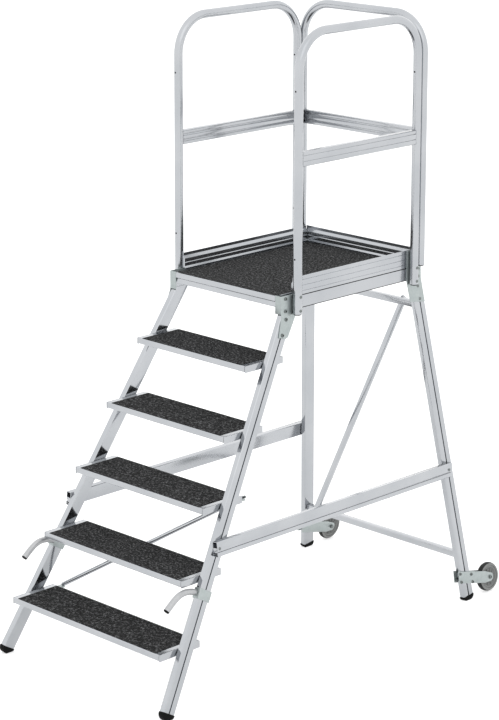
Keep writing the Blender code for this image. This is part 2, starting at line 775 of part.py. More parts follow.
def wheels():
    """Castorless wheels behind the legs, each on an axle between two plates."""
    base = side_frame(WHEEL_Y, WHEEL_Z, 0.0)
    normal = base.to_3x3().col[0].copy()
    along = Vector((0, 1, 0))
    up = normal.cross(along)
    turn = Matrix((along, up, normal)).transposed().to_4x4()
    inset = WHEEL_INSET * math.hypot(1, FLARE)
    hub = Vector((SIDE_X - FLARE * WHEEL_Z - inset, WHEEL_Y, WHEEL_Z))
    # Local X runs backwards, Y up the side plane and Z outwards along the axle.
    spin = Matrix.Translation(hub) @ turn

    def lathe(name, profile, finish, steps=40):
        bm = bmesh.new()
        verts = [bm.verts.new((r, 0, h)) for r, h in profile]
        for i in range(len(verts)):
            bm.edges.new((verts[i], verts[(i + 1) % len(verts)]))
        bmesh.ops.spin(
            bm, geom=bm.verts[:] + bm.edges[:], cent=(0, 0, 0), axis=(0, 0, 1),
            angle=2 * math.pi, steps=steps, use_merge=True,
        )
        bmesh.ops.remove_doubles(bm, verts=bm.verts, dist=1e-6)
        return add(name, mesh_from(bm, name), finish)

    w = WHEEL_W / 2
    rim_r = WHEEL_R - 0.0135
    tyre_profile = [
        (rim_r + GAP, -w + 0.002), (WHEEL_R - 0.0080, -w), (WHEEL_R - 0.0030, -w + 0.0025),
        (WHEEL_R - 0.0006, -w + 0.007), (WHEEL_R, -0.003), (WHEEL_R, 0.003),
        (WHEEL_R - 0.0006, w - 0.007), (WHEEL_R - 0.0030, w - 0.0025), (WHEEL_R - 0.0080, w),
        (rim_r + GAP, w - 0.002),
    ]
    rim_profile = [
        (0.0062, -w), (0.0150, -w), (0.0165, -w + 0.004), (rim_r - 0.0100, -w + 0.006),
        (rim_r - 0.0070, -w + 0.002), (rim_r, -w + 0.002), (rim_r, w - 0.002), (rim_r - 0.0070, w - 0.002),
        (rim_r - 0.0100, w - 0.006), (0.0165, w - 0.004), (0.0150, w), (0.0062, w),
    ]
    # The outer plate steps outwards behind the leg to clear the wheel; the inner one runs straight.
    leg_out = WHEEL_INSET + GAP
    leg_in = WHEEL_INSET - PROFILE_T - GAP
    clear = w + 0.0015
    plate_t = PLATE_T
    slope_down = 0.235
    leg_local = LEG_Y + LEG_SLOPE * WHEEL_Z - WHEEL_Y

    def plate(name, plan):
        """plan is the plate's run as (backwards, outwards) corners; its side outline is trimmed after."""
        bm = bmesh.new()
        low = [bm.verts.new((x, -0.08, z)) for x, z in plan]
        high = [bm.verts.new((x, 0.10, z)) for x, z in plan]
        count = len(plan)
        bm.faces.new(low)
        bm.faces.new(high)
        for i in range(count):
            j = (i + 1) % count
            bm.faces.new((low[i], low[j], high[j], high[i]))
        obj = add(name, mesh_from(bm, name), "steel")
        front = leg_local - PROFILE_W / 2 - 0.022
        rise = -slope_down * front
        outline = []
        for i in range(11):
            a = math.radians(-75 + 15 * i)
            outline.append((0.0185 * math.cos(a), 0.0185 * math.sin(a)))
        outline += [
            (-0.033, 0.025 + slope_down * 0.033), (front, 0.025 + rise),
            (front, -0.025 + rise), (-0.033, -0.025 + slope_down * 0.033),
        ]
        trim = add(
            f"trim_{name}", extrusion_mesh("trim", outline, [], 0.2), None, GUIDES
        )
        trim.matrix_world = Matrix.Translation((0, 0, -0.1))
        cut(obj, trim, "INTERSECT")
        bore = guide_cylinder(f"bore_{name}", 0.0055, 0.3, Matrix.Identity(4), 24)
        cut(obj, bore)
        mesh = bake(obj).data
        mesh.transform(spin)
        return obj

    back = 0.03
    step0, step1 = leg_local + PROFILE_W / 2 + 0.014, leg_local + PROFILE_W / 2 + 0.034
    outer_plate = plate("wheel_plate_outer_right", [
        (-0.2, leg_out), (step0, leg_out), (step1, clear), (back, clear), (back, clear + plate_t),
        (step1, clear + plate_t), (step0, leg_out + plate_t), (-0.2, leg_out + plate_t),
    ])
    inner_plate = plate("wheel_plate_inner_right", [
        (-0.2, leg_in - plate_t), (back, leg_in - plate_t), (back, leg_in), (-0.2, leg_in),
    ])
    for obj in (outer_plate, inner_plate):
        mirrored(obj, obj.name.replace("_right", "_left"))

    near, far = leg_in - plate_t - GAP, clear + plate_t + GAP
    axle = lathe("wheel_axle_right", [
        (0.0, near - 0.0055), (0.0080, near - 0.0055), (0.0080, near), (0.0050, near),
        (0.0050, far), (0.0080, far), (0.0080, far + 0.0045), (0.0, far + 0.0045),
    ], "steel", 24)
    axle.data.transform(spin)
    mirrored(axle, "wheel_axle_left")

    for name, profile, finish in (
        ("wheel_rim", rim_profile, "rim"), ("wheel_tyre", tyre_profile, "tyre"),
    ):
        right = lathe(f"{name}_right", profile, finish)
        flip = Matrix.Scale(-1, 4, (1, 0, 0))
        right.data.transform(turn)
        left = mirrored(right, f"{name}_left")
        right.location = hub
        left.location = flip @ hub


clear_scene()
PARTS = collection(NAME)
GUIDES = collection("guides")
uprights()
treads()
platform()
guard_rails()
brackets()
bracing()
tie_rod()
handles()
wheels()
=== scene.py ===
"""Looks of the rolling platform ladder: finishes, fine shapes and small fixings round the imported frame."""

import math
import random

import bmesh
import bpy
from mathutils import Matrix, Vector
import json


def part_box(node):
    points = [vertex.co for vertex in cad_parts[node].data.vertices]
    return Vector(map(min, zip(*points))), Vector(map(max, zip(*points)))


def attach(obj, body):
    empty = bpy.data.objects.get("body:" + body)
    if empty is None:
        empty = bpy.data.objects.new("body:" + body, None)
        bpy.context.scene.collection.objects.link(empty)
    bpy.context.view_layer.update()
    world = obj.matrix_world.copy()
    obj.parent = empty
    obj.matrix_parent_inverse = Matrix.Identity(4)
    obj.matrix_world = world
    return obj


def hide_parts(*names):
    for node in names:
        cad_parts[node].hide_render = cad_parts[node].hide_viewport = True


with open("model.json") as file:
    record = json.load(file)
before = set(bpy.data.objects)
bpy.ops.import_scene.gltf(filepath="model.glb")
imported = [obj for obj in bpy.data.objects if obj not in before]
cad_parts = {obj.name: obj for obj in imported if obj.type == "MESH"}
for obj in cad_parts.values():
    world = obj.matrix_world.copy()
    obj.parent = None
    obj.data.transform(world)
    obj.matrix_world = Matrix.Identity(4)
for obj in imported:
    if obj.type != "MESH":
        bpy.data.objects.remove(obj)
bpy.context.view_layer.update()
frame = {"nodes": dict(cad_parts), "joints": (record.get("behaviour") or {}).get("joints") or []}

NODES = frame["nodes"]
JOINTS = {j["name"]: j for j in frame["joints"]}
ROOT = "ladder"
SIDES = ((1, "right"), (-1, "left"))

# The planes that stiles and legs stand in: x = SIDE_X - FLARE * z on the right side's outer face.
SIDE_X = 0.4676
FLARE = 0.121
STILE_Y, STILE_SLOPE = -0.9540, 0.5886
LEG_Y, LEG_SLOPE = 0.7749, -0.1322
PROFILE_W, PROFILE_T = 0.057, 0.024

# Guard hoops
TUBE_R = 0.0175
BEND_R = 0.145
RAIL_TOP = 2.432
POST_X = 0.3240
POST_FRONT_Y, POST_REAR_Y = -0.1209, 0.5536
BACK_RAIL_Y = 0.5902
POST_BOTTOM, BACK_POST_BOTTOM = 1.3600, 1.4340

# Treads: their count and rise, and the depth of their nose and end plates
TREADS = 5
RISE = 0.240
TREAD_NOSE, TREAD_END = 0.0235, 0.0265

# The platform's side frames, the bent plates and the gap between a plate and the face under it
PLATFORM_X = 0.3017
PLATE_T = 0.0025
CLEAR = 0.0003

# How far a fixing's seat is let into a face
SUNK = 0.0002

# Round bars
HANDLE_X, HANDLE_R = 0.4000, 0.0118
TIE_ROD_R = 0.0090


# ---------------------------------------------------------------- materials


class Finish:
    """A material and its node tree, with short ways to add and join nodes."""

    def __init__(self, name):
        self.mat = bpy.data.materials.new(name)
        self.mat.use_nodes = True
        self.tree = self.mat.node_tree
        self.bsdf = self.tree.nodes["Principled BSDF"]

    def add(self, kind, **settings):
        """A new node: a setting goes to the input of that name, or else to the node itself."""
        node = self.tree.nodes.new(kind)
        for key, value in settings.items():
            if key in node.inputs:
                node.inputs[key].default_value = value
            else:
                setattr(node, key, value)
        return node

    def join(self, source, target):
        self.tree.links.new(source, target)

    def coords(self, rotation=(0, 0, 0), scale=(1, 1, 1)):
        """Metres along the object's axes, turned and then divided by scale."""
        place = self.add("ShaderNodeTexCoord")
        mapping = self.add("ShaderNodeMapping", vector_type="TEXTURE")
        mapping.inputs["Rotation"].default_value = rotation
        mapping.inputs["Scale"].default_value = scale
        self.join(place.outputs["Object"], mapping.inputs["Vector"])
        return mapping.outputs["Vector"]

    def noise(self, vector, scale, detail, roughness):
        node = self.add("ShaderNodeTexNoise", Scale=scale, Detail=detail, Roughness=roughness)
        self.join(vector, node.inputs["Vector"])
        return node.outputs["Fac"]

    def remap(self, value, low, high, to_low, to_high):
        """Carries the range low to high onto to_low to to_high, and clips outside it."""
        node = self.add("ShaderNodeMapRange")
        ends = {"From Min": low, "From Max": high, "To Min": to_low, "To Max": to_high}
        for socket, number in ends.items():
            node.inputs[socket].default_value = number
        self.join(value, node.inputs["Value"])
        return node.outputs["Result"]

    def math(self, operation, a, b):
        node = self.add("ShaderNodeMath", operation=operation)
        for socket, value in zip(node.inputs, (a, b)):
            if isinstance(value, (int, float)):
                socket.default_value = value
            else:
                self.join(value, socket)
        return node.outputs["Value"]

    def blend(self, factor, first, second):
        """A colour between two colours or colour sockets."""
        node = self.add("ShaderNodeMix", data_type="RGBA")
        sockets = [s for s in node.inputs if s.type == "RGBA"]
        for socket, value in zip(sockets, (first, second)):
            if isinstance(value, tuple):
                socket.default_value = (*value, 1.0)
            else:
                self.join(value, socket)
        self.join(factor, node.inputs["Factor"])
        return next(s for s in node.outputs if s.type == "RGBA")

    def bump(self, height, distance, strength):
        node = self.add("ShaderNodeBump", Distance=distance, Strength=strength)
        self.join(height, node.inputs["Height"])
        self.join(node.outputs["Normal"], self.bsdf.inputs["Normal"])

    def paint(self, source):
        self.join(source, self.bsdf.inputs["Base Color"])

    def roughen(self, source):
        self.join(source, self.bsdf.inputs["Roughness"])

    def set(self, **values):
        """Fixed values of the surface, by the name of the input with _ for each space."""
        for key, value in values.items():
            self.bsdf.inputs[key.replace("_", " ")].default_value = value


def turned_to(axis):
    """Euler angles that turn X onto axis."""
    return tuple(Vector(axis).to_track_quat("X", "Z").to_euler())


def aluminium(name, along, shine=0.17):
    """Bright drawn aluminium: die lines along the extrusion, faint haze and a few rubs."""
    f = Finish(name)
    lines = f.coords(turned_to(along), (0.6, 0.0022, 0.0022))
    fine = f.noise(lines, 1.0, 3.0, 0.6)
    rubs = f.noise(f.coords(turned_to(along), (0.05, 0.012, 0.012)), 1.0, 4.0, 0.65)
    haze = f.noise(f.coords(), 5.0, 3.0, 0.55)
    tone = f.remap(haze, 0.35, 0.65, 0.0, 1.0)
    f.paint(f.blend(tone, (0.374, 0.388, 0.407), (0.412, 0.424, 0.441)))
    f.set(Metallic=1.0)
    drawn = f.remap(fine, 0.3, 0.7, shine - 0.035, shine + 0.045)
    f.roughen(f.math("ADD", drawn, f.remap(rubs, 0.62, 0.85, 0.0, 0.12)))
    f.bump(fine, 0.00006, 0.35)
    return f.mat


def galvanised(name, low, high):
    """Zinc-coated steel: pale crystals, each with its own tone, and dull patches."""
    f = Finish(name)
    cells = f.add("ShaderNodeTexVoronoi", Scale=170.0, Randomness=1.0)
    f.join(f.coords(), cells.inputs["Vector"])
    crystal = f.add("ShaderNodeSeparateColor")
    f.join(cells.outputs["Color"], crystal.inputs["Color"])
    dull = f.noise(f.coords(), 35.0, 4.0, 0.6)
    tone = f.math("MULTIPLY", crystal.outputs["Red"], 0.45)
    tone = f.math("ADD", tone, f.remap(dull, 0.3, 0.7, 0.0, 0.55))
    f.paint(f.blend(tone, low, high))
    f.set(Metallic=0.85)
    f.roughen(f.remap(tone, 0.0, 1.0, 0.30, 0.46))
    f.bump(dull, 0.0001, 0.3)
    return f.mat


def zinc_screw(name):
    """Plated metal of the small fixings and axles, dark with fine paler grains."""
    f = Finish(name)
    grain = f.noise(f.coords(), 900.0, 3.0, 0.6)
    f.paint(f.blend(grain, (0.085, 0.095, 0.095), (0.260, 0.280, 0.275)))
    f.set(Metallic=1.0)
    f.roughen(f.remap(grain, 0.3, 0.7, 0.24, 0.4))
    f.bump(grain, 0.00005, 0.3)
    return f.mat


def grit(name):
    """Black mineral grains on a black film, with pale worn grains scattered through."""
    f = Finish(name)
    grains = f.add("ShaderNodeTexVoronoi", Scale=620.0, Randomness=1.0)
    f.join(f.coords(), grains.inputs["Vector"])
    each = f.add("ShaderNodeSeparateColor")
    f.join(grains.outputs["Color"], each.inputs["Color"])
    clumps = f.noise(f.coords(), 240.0, 3.0, 0.7)
    patches = f.noise(f.coords(), 9.0, 3.0, 0.6)
    coarse = f.noise(f.coords(), 115.0, 3.0, 0.75)
    worn = f.remap(coarse, 0.51, 0.64, 0.0, 1.0)
    pale = f.math("MULTIPLY", f.remap(each.outputs["Green"], 0.35, 1.0, 0.3, 1.0), worn)
    patchy = f.remap(patches, 0.3, 0.7, 0.0, 1.0)
    base = f.blend(patchy, (0.0070, 0.0072, 0.0074), (0.0110, 0.0112, 0.0115))
    f.paint(f.blend(pale, base, (0.212, 0.215, 0.220)))
    f.roughen(f.remap(each.outputs["Blue"], 0.0, 1.0, 0.65, 0.95))
    f.set(Specular_IOR_Level=0.12)
    height = f.math("ADD", f.remap(grains.outputs["Distance"], 0.0, 0.7, 1.0, 0.0), clumps)
    f.bump(height, 0.0007, 0.9)
    return f.mat


def moulded(name, dark, light, roughness, gloss=0.15):
    """Rubber or plastic with a fine moulded grain and paler scuffs."""
    f = Finish(name)
    fine = f.noise(f.coords(), 420.0, 2.0, 0.5)
    wear = f.noise(f.coords(), 30.0, 6.0, 0.7)
    scuffs = f.remap(wear, 0.45, 0.75, 0.0, 0.35)
    tone = f.math("ADD", scuffs, f.remap(fine, 0.3, 0.7, 0.0, 0.25))
    f.paint(f.blend(tone, dark, light))
    f.roughen(f.remap(wear, 0.3, 0.7, roughness - 0.08, roughness + 0.08))
    f.set(Specular_IOR_Level=gloss)
    f.bump(fine, 0.0002, 0.4)
    return f.mat


UP, ACROSS, AHEAD = (0, 0, 1), (1, 0, 0), (0, 1, 0)
STILE_AXIS = {s: Vector((-s * FLARE, STILE_SLOPE, 1)) for s in (1, -1)}
LEG_AXIS = {s: Vector((-s * FLARE, LEG_SLOPE, 1)) for s in (1, -1)}
ALUMINIUM = {
    "up": aluminium("aluminium_up", UP),
    "across": aluminium("aluminium_across", ACROSS),
    "ahead": aluminium("aluminium_ahead", AHEAD),
    "stile_right": aluminium("aluminium_stile_right", STILE_AXIS[1], 0.10),
    "stile_left": aluminium("aluminium_stile_left", STILE_AXIS[-1], 0.10),
    "leg_right": aluminium("aluminium_leg_right", LEG_AXIS[1], 0.12),
    "leg_left": aluminium("aluminium_leg_left", LEG_AXIS[-1], 0.12),
    "tube": aluminium("aluminium_tube", UP, 0.2),
}
GALVANISED = galvanised("galvanised", (0.296, 0.332, 0.331), (0.378, 0.412, 0.409))
BRIGHT_ZINC = galvanised("bright_zinc", (0.340, 0.345, 0.355), (0.420, 0.425, 0.432))
SCREW = zinc_screw("zinc_screw")
GRIT = grit("grit")
RUBBER = moulded("foot_rubber", (0.0025, 0.0025, 0.0026), (0.012, 0.012, 0.012), 0.6, 0.06)
PLUG = moulded("plug_plastic", (0.003, 0.003, 0.003), (0.012, 0.012, 0.012), 0.5, 0.08)
TYRE = moulded("tyre_rubber", (0.014, 0.015, 0.015), (0.042, 0.042, 0.041), 0.62)
SIDEWALL = moulded("tyre_sidewall", (0.154, 0.158, 0.156), (0.225, 0.229, 0.225), 0.55)
RIM = moulded("rim_plastic", (0.135, 0.139, 0.137), (0.203, 0.206, 0.204), 0.5)


# ---------------------------------------------------------------- shapes


def publish(obj, body, material, nodes=()):
    """Gives a finished piece its material and body, and hides the nodes that it stands for."""
    obj.data.materials.clear()
    obj.data.materials.append(material)
    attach(obj, body)
    if nodes:
        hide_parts(*nodes)
    return obj


def link(name, data):
    """A new object of the scene that holds a mesh, a curve, a light or a camera."""
    obj = bpy.data.objects.new(name, data)
    bpy.context.scene.collection.objects.link(obj)
    return obj


def finished(bm, name, angle=32):
    """Turns a bmesh into an object with smooth faces and sharp creases."""
    bmesh.ops.recalc_face_normals(bm, faces=bm.faces)
    mesh = bpy.data.meshes.new(name)
    bm.to_mesh(mesh)
    bm.free()
    # Normals carried over from the frame's mesh would spoil the flat faces.
    carried = mesh.attributes.get("custom_normal")
    if carried:
        mesh.attributes.remove(carried)
    mesh.shade_smooth()
    mesh.set_sharp_from_angle(angle=math.radians(angle))
    return link(name, mesh)


def eased(bm, width):
    """Rounds every edge where two faces meet at more than 28 degrees."""
    sharp = math.radians(28)
    edges = [e for e in bm.edges if len(e.link_faces) == 2 and e.calc_face_angle(0.0) > sharp]
    bmesh.ops.bevel(
        bm, geom=edges, offset=width, segments=2, profile=0.5, affect="EDGES", clamp_overlap=True
    )


def refined(node, material, width, crease=32):
    """A copy of a node with its flat faces joined up and its edges eased."""
    bm = bmesh.new()
    bm.from_mesh(NODES[node].data)
    bmesh.ops.remove_doubles(bm, verts=bm.verts, dist=1e-5)
    bmesh.ops.dissolve_limit(bm, angle_limit=math.radians(0.4), verts=bm.verts, edges=bm.edges)
    eased(bm, width)
    return publish(finished(bm, f"{node}_fine", crease), ROOT, material, (node,))


def swept(name, paths, closed, **settings):
    """A bmesh of straight-sided paths, given thickness by the settings of the curve."""
    curve = bpy.data.curves.new(name, "CURVE")
    for key, value in settings.items():
        setattr(curve, key, value)
    for path in paths:
        spline = curve.splines.new("POLY")
        spline.points.add(len(path) - 1)
        for point, place in zip(spline.points, path):
            point.co = (*place, 1.0)
        spline.use_cyclic_u = closed
    helper = link(name, curve)
    bpy.context.view_layer.update()
    graph = bpy.context.evaluated_depsgraph_get()
    mesh = bpy.data.meshes.new_from_object(helper.evaluated_get(graph))
    bpy.data.objects.remove(helper, do_unlink=True)
    bm = bmesh.new()
    bm.from_mesh(mesh)
    bmesh.ops.remove_doubles(bm, verts=bm.verts, dist=1e-6)
    return bm


def curve_tube(name, points, radius):
    """A round bar or tube along the points, closed at both ends."""
    round_section = {"bevel_depth": radius, "bevel_resolution": 10, "use_fill_caps": True}
    return finished(swept(name, [points], False, dimensions="3D", **round_section), name)


def prism(name, outline, length, matrix, holes=(), ease=0.0):
    """A flat outline of (x, y) pairs, extruded along local Z and set in place by matrix."""
    paths = [[(x, y, 0.0) for x, y in points] for points in (outline, *holes)]
    bm = swept(name, paths, True, dimensions="2D", fill_mode="BOTH", extrude=length / 2)
    bmesh.ops.translate(bm, vec=(0, 0, length / 2), verts=bm.verts)
    bmesh.ops.transform(bm, matrix=matrix, verts=bm.verts)
    if ease:
        eased(bm, ease)
    return finished(bm, name)


def turned(bm, profile, steps):
    """Adds a shape turned round Z: (radius, height) pairs, closed on themselves or on the axis."""
    ring = [bm.verts.new((r, 0, h)) for r, h in profile]
    edges = [bm.edges.new((a, b)) for a, b in zip(ring, ring[1:])]
    if profile[0][0] > 0:
        edges.append(bm.edges.new((ring[-1], ring[0])))
    bmesh.ops.spin(
        bm, geom=ring + edges, cent=(0, 0, 0), axis=(0, 0, 1), angle=2 * math.pi, steps=steps,
        use_merge=True,
    )


def turned_object(name, profile, matrix, steps, angle=32):
    """One turned shape, set in place by matrix."""
    bm = bmesh.new()
    turned(bm, profile, steps)
    bmesh.ops.remove_doubles(bm, verts=bm.verts, dist=1e-6)
    bmesh.ops.transform(bm, matrix=matrix, verts=bm.verts)
    return finished(bm, name, angle)


def round_path(points, radius=0.0, steps=4):
    """Rounds each corner of a closed outline; a point may carry its own radius."""
    out = []
    count = len(points)
    for i, point in enumerate(points):
        here = Vector(point[:2])
        before = Vector(points[i - 1][:2])
        after = Vector(points[(i + 1) % count][:2])
        r = point[2] if len(point) > 2 else radius
        a, b = before - here, after - here
        if r <= 0 or a.length < 1e-9 or b.length < 1e-9:
            out.append(tuple(here))
            continue
        half = a.angle(b) / 2
        reach = min(r / max(math.tan(half), 1e-6), a.length * 0.49, b.length * 0.49)
        p, q = here + a.normalized() * reach, here + b.normalized() * reach
        for k in range(steps + 1):
            t = k / steps
            out.append(tuple((1 - t) ** 2 * p + 2 * t * (1 - t) * here + t * t * q))
    return out


def facing(origin, normal, up=(0, 0, 1)):
    """A placement whose Z is the normal and whose Y is close to up."""
    z = Vector(normal).normalized()
    x = Vector(up).cross(z).normalized()
    turn = Matrix((x, z.cross(x), z)).transposed().to_4x4()
    return Matrix.Translation(Vector(origin)) @ turn


def screw_mesh(bm, place, radius, kind):
    """One fixing seated at place, with its head along +Z."""
    seat = -0.0006
    if kind == "rivet":
        head = 0.42 * radius
        angles = [math.radians(a) for a in range(0, 91, 15)]
        arc = [(radius * math.cos(a), head * math.sin(a)) for a in angles]
        profile = [(0, head * 0.62), (radius * 0.28, head * 0.62), (radius * 0.36, head * 0.99)]
        profile += [p for p in reversed(arc) if p[0] > radius * 0.4] + [(radius, seat), (0, seat)]
        steps = 20
    elif kind == "socket":
        h = 0.75 * radius
        profile = [
            (0, h * 0.25), (radius * 0.42, h * 0.25), (radius * 0.48, h * 0.9), (radius * 0.60, h),
            (radius * 0.80, h * 0.88), (radius * 0.94, h * 0.6), (radius, h * 0.2), (radius, seat), (0, seat),
        ]
        steps = 24
    elif kind == "hex":
        h = 0.85 * radius
        profile = [(0, h), (radius * 0.86, h), (radius, h * 0.86), (radius, seat), (0, seat)]
        steps = 6
    else:  # a plastic plug with a shallow dish
        profile = [
            (0, radius * 0.15), (radius * 0.5, radius * 0.32), (radius * 0.85, radius * 0.25),
            (radius, 0.0), (radius, seat), (0, seat),
        ]
        steps = 16
    before = set(bm.verts)
    turned(bm, profile, steps)
    fresh = [v for v in bm.verts if v not in before]
    bmesh.ops.remove_doubles(bm, verts=fresh, dist=1e-7)
    fresh = [v for v in bm.verts if v not in before]
    bmesh.ops.transform(bm, matrix=place, verts=fresh)


def fixings(name, places, radius, kind, material=SCREW, slot="galvanised_steel"):
    """One piece that holds a fixing at each place."""
    bm = bmesh.new()
    for place in places:
        screw_mesh(bm, place, radius, kind)
    return publish(finished(bm, name, 30), ROOT, material)


def both_sides(name, places, radius, kind, **more):
    """The same fixings on the right side and, mirrored, on the left."""
    for side, tag in SIDES:
        spots = [facing((side * o[0], o[1], o[2]), (side * n[0], n[1], n[2])) for o, n in places]
        fixings(f"{name}_{tag}", spots, radius, kind, **more)


# ---------------------------------------------------------------- frame pieces


def frame_members():
    """The extrusions and plates whose shape the frame already has, with eased edges."""
    for _, tag in SIDES:
        refined(f"front_stile_{tag}", ALUMINIUM[f"stile_{tag}"], 0.0005)
        refined(f"rear_leg_{tag}", ALUMINIUM[f"leg_{tag}"], 0.0005)
        for node in ("side_brace", "knee_rail"):
            refined(f"{node}_{tag}", ALUMINIUM["ahead"], 0.0004)
        refined(f"toe_board_{tag}", ALUMINIUM["ahead"], 0.0003, crease=12)
        for node in (
            "front_bracket", "rear_bracket", "handle_clamp", "wheel_plate_outer", "wheel_plate_inner",
        ):
            refined(f"{node}_{tag}", GALVANISED, 0.0006)
    for node in (
        "platform_nosing", "platform_deck", "platform_rear_frame", "knee_rail_back",
        "rear_cross_bar_lower", "rear_cross_bar_upper",
    ):
        refined(node, ALUMINIUM["across"], 0.0004)
    refined("toe_board_back", ALUMINIUM["across"], 0.0003, crease=12)
    refined("rear_diagonal", ALUMINIUM["up"], 0.0010)


def side_frames():
    """Platform side frames: box sections, rebated at both outer edges, with a dark strip in each rebate as
    painted shade for the shadow gap there.
    """
    wall, inset = 0.0022, 0.0060
    cut_w, cut_h = 0.0030, 0.0032
    slack = 0.0002
    shadow_strip_w, shadow_strip_h = 0.0022, cut_h - 2 * slack
    for side, tag in SIDES:
        lo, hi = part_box(f"platform_side_frame_{tag}")
        width, height, length = hi.x - lo.x, hi.z - lo.z, hi.y - lo.y
        outline = round_path([
            (-width, 0, 0.001), (-cut_w, 0, 0.0003), (-cut_w, cut_h, 0.0), (0, cut_h, 0.0005),
            (0, height - cut_h, 0.0005), (-cut_w, height - cut_h, 0.0), (-cut_w, height, 0.0003),
            (-width, height, 0.001),
        ], steps=3)
        hole = [
            (wall - width, inset), (-inset, inset), (-inset, height - inset),
            (wall - width, height - inset),
        ]
        # The section is drawn outwards and upwards, then laid along Y.
        outer = hi.x if side > 0 else lo.x
        lay = Matrix.Translation((outer, lo.y, lo.z)) @ Matrix(
            ((side, 0, 0, 0), (0, 0, 1, 0), (0, 1, 0, 0), (0, 0, 0, 1))
        )
        box = prism(f"side_frame_{tag}", outline, length, lay, [hole])
        publish(box, ROOT, ALUMINIUM["ahead"], (f"platform_side_frame_{tag}",))
        # The dark strips in the rebates are painted shade: they stand in for the shadow gaps along the
        # frame's top and bottom edges.
        for where, low in (("low", slack), ("high", height - cut_h + slack)):
            strip = [
                (-cut_w, low), (shadow_strip_w - cut_w, low), (shadow_strip_w - cut_w, low + shadow_strip_h),
                (-cut_w, low + shadow_strip_h),
            ]
            dark_strip = prism(f"side_shadow_strip_{tag}_{where}", strip, length, lay)
            publish(dark_strip, ROOT, PLUG)


def quarter(cx, cz, start, end, steps=16):
    """Points of a bend of the hoop's radius, from start to end in degrees."""
    angles = [math.radians(start + (end - start) * i / steps) for i in range(steps + 1)]
    return [(cx + BEND_R * math.cos(a), cz + BEND_R * math.sin(a)) for a in angles]


def hoop_line(a, b, bottom):
    """A hoop's centre line: up at a, over the top and down at b."""
    high = RAIL_TOP - BEND_R
    bends = [*quarter(a + BEND_R, high, 180, 90), *quarter(b - BEND_R, high, 90, 0)]
    return [(a, bottom), *bends, (b, bottom)]


def guard_hoops():
    """The three bent tubes round the platform, with a plug in each post's open end."""
    for side, tag in SIDES:
        line = hoop_line(POST_FRONT_Y, POST_REAR_Y, POST_BOTTOM)
        path = [(side * POST_X, y, z) for y, z in line]
        hoop = curve_tube(f"guard_hoop_{tag}_fine", path, TUBE_R)
        publish(hoop, ROOT, ALUMINIUM["tube"], (f"guard_hoop_{tag}",))
    path = [(x, BACK_RAIL_Y, z) for x, z in hoop_line(-POST_X, POST_X, BACK_POST_BOTTOM)]
    hoop = curve_tube("guard_hoop_back_fine", path, TUBE_R)
    publish(hoop, ROOT, ALUMINIUM["tube"], ("guard_hoop_back",))

    ends = [(s * POST_X, y, POST_BOTTOM) for s in (1, -1) for y in (POST_FRONT_Y, POST_REAR_Y)]
    ends += [(s * POST_X, BACK_RAIL_Y, BACK_POST_BOTTOM) for s in (1, -1)]
    bm = bmesh.new()
    for end in ends:
        screw_mesh(bm, facing(end, (0, 0, -1), (0, 1, 0)), TUBE_R * 0.97, "plug")
    publish(finished(bm, "post_plugs"), ROOT, PLUG)


def tread_outline(depth):
    """Section of a tread: a hollow nose, a ribbed plate and a rear lip. X is depth, Y is height."""
    t = 0.0022
    nose, low, rib_low, lip = 0.024, -TREAD_NOSE, -0.011, 0.012
    rear_low = low + 0.002
    outer = [
        (0.0, low, 0.0025), (0.0, 0.0, 0.0040), (depth, 0.0, 0.0018), (depth, rear_low, 0.0012),
        (depth - lip, rear_low, 0.0008), (depth - lip, rear_low + t, 0.0),
        (depth - t, rear_low + t, 0.0), (depth - t, -t, 0.0),
    ]
    for x in (0.165, 0.125, 0.085):
        ahead, behind = x - t / 2, x + t / 2
        outer += [(behind, -t, 0.0), (behind, rib_low, 0.0), (ahead, rib_low, 0.0), (ahead, -t, 0.0)]
    outer += [(nose, -t, 0.0), (nose, low, 0.001)]
    hole = [(t, low + t), (nose - t, low + t), (nose - t, -t), (t + 0.001, -t)]
    return round_path(outer), hole


def grit_sheet(node, corner=0.0):
    """A sheet of grit whose grains stand up as real bumps; corner cuts its two front corners."""
    lo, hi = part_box(node)
    pitch, film = 0.0026, 0.0007
    most_lift, most_shift = 0.0009, 0.0012
    nx, ny = round((hi.x - lo.x) / pitch), round((hi.y - lo.y) / pitch)
    rng = random.Random(node)
    bm = bmesh.new()
    rows = []
    for j in range(ny + 1):
        y = lo.y + (hi.y - lo.y) * j / ny
        cut = max(0.0, corner - (y - lo.y))
        row = []
        for i in range(nx + 1):
            x = lo.x + cut + (hi.x - lo.x - 2 * cut) * i / nx
            edge = i in (0, nx) or j in (0, ny)
            lift = 0.0 if edge else rng.random() ** 2 * most_lift
            shift = 0.0 if edge else (rng.random() - 0.5) * most_shift
            row.append(bm.verts.new((x + shift, y - shift * 0.5, hi.z - film + lift)))
        rows.append(row)
    for a, b in zip(rows, rows[1:]):
        for i in range(nx):
            bm.faces.new((a[i], a[i + 1], b[i + 1], b[i]))
    rim = [e for e in bm.edges if len(e.link_faces) == 1]
    skirt = bmesh.ops.extrude_edge_only(bm, edges=rim)
    for v in [g for g in skirt["geom"] if isinstance(g, bmesh.types.BMVert)]:
        v.co.z = lo.z
    bmesh.ops.holes_fill(bm, edges=[e for e in bm.edges if len(e.link_faces) == 1], sides=0)
    bmesh.ops.recalc_face_normals(bm, faces=bm.faces)
    name = f"{node}_grains"
    mesh = bpy.data.meshes.new(name)
    bm.to_mesh(mesh)
    bm.free()
    publish(link(name, mesh), ROOT, GRIT, (node,))


